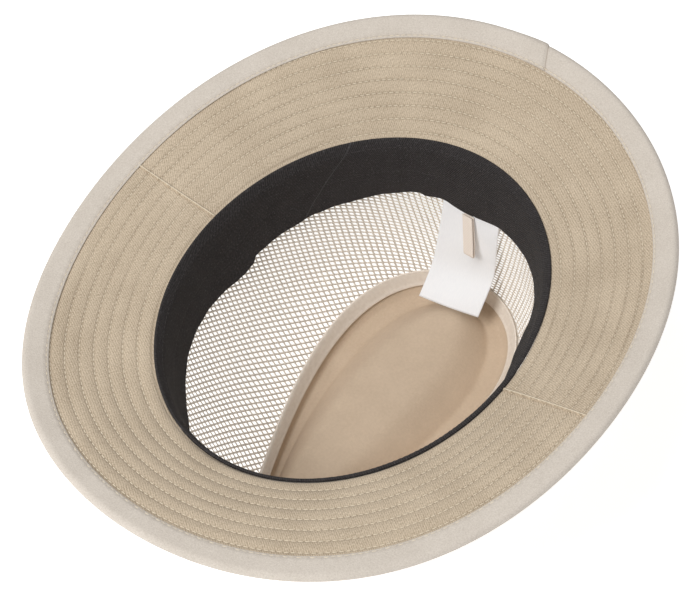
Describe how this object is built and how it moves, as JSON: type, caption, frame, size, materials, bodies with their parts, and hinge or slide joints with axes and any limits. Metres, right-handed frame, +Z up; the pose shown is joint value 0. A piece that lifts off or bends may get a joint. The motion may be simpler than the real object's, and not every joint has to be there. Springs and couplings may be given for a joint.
{
  "type": "safari hat",
  "caption": "Sun hat with a wide stitched brim, bound edge, see-through net crown, dented teardrop tip and dark sweatband, lying on its crown.",
  "frame": {"origin": "middle of the hat's outline seen from above, on the surface that the hat rests on, crown down", "axes": "+Z up, out of the head opening; +Y to the back of the hat; +X to the wearer's right"},
  "size_m": [0.284, 0.3208, 0.1437],
  "materials": {
    "brim_twill": "khaki cotton twill, stitched in rounds",
    "binding_cloth": "stone-coloured plain cotton binding",
    "crown_net": "cream knitted net with open cells",
    "tip_cloth": "plain tan cotton",
    "sweatband_cloth": "near-black woven cotton",
    "seam_tape": "grey-beige twill tape",
    "label_satin": "white printed-label satin, left bare",
    "loop_ribbon": "cream woven ribbon"
  },
  "bodies": {
    "root": {"brim_back": "brim_twill", "brim_front": "brim_twill", "brim_binding": "binding_cloth", "crown_net": "crown_net", "crown_tip": "tip_cloth", "sweatband": "sweatband_cloth", "seam_tape": "seam_tape", "care_label": "label_satin", "size_loop": "loop_ribbon"}
  },
  "joints": []
}
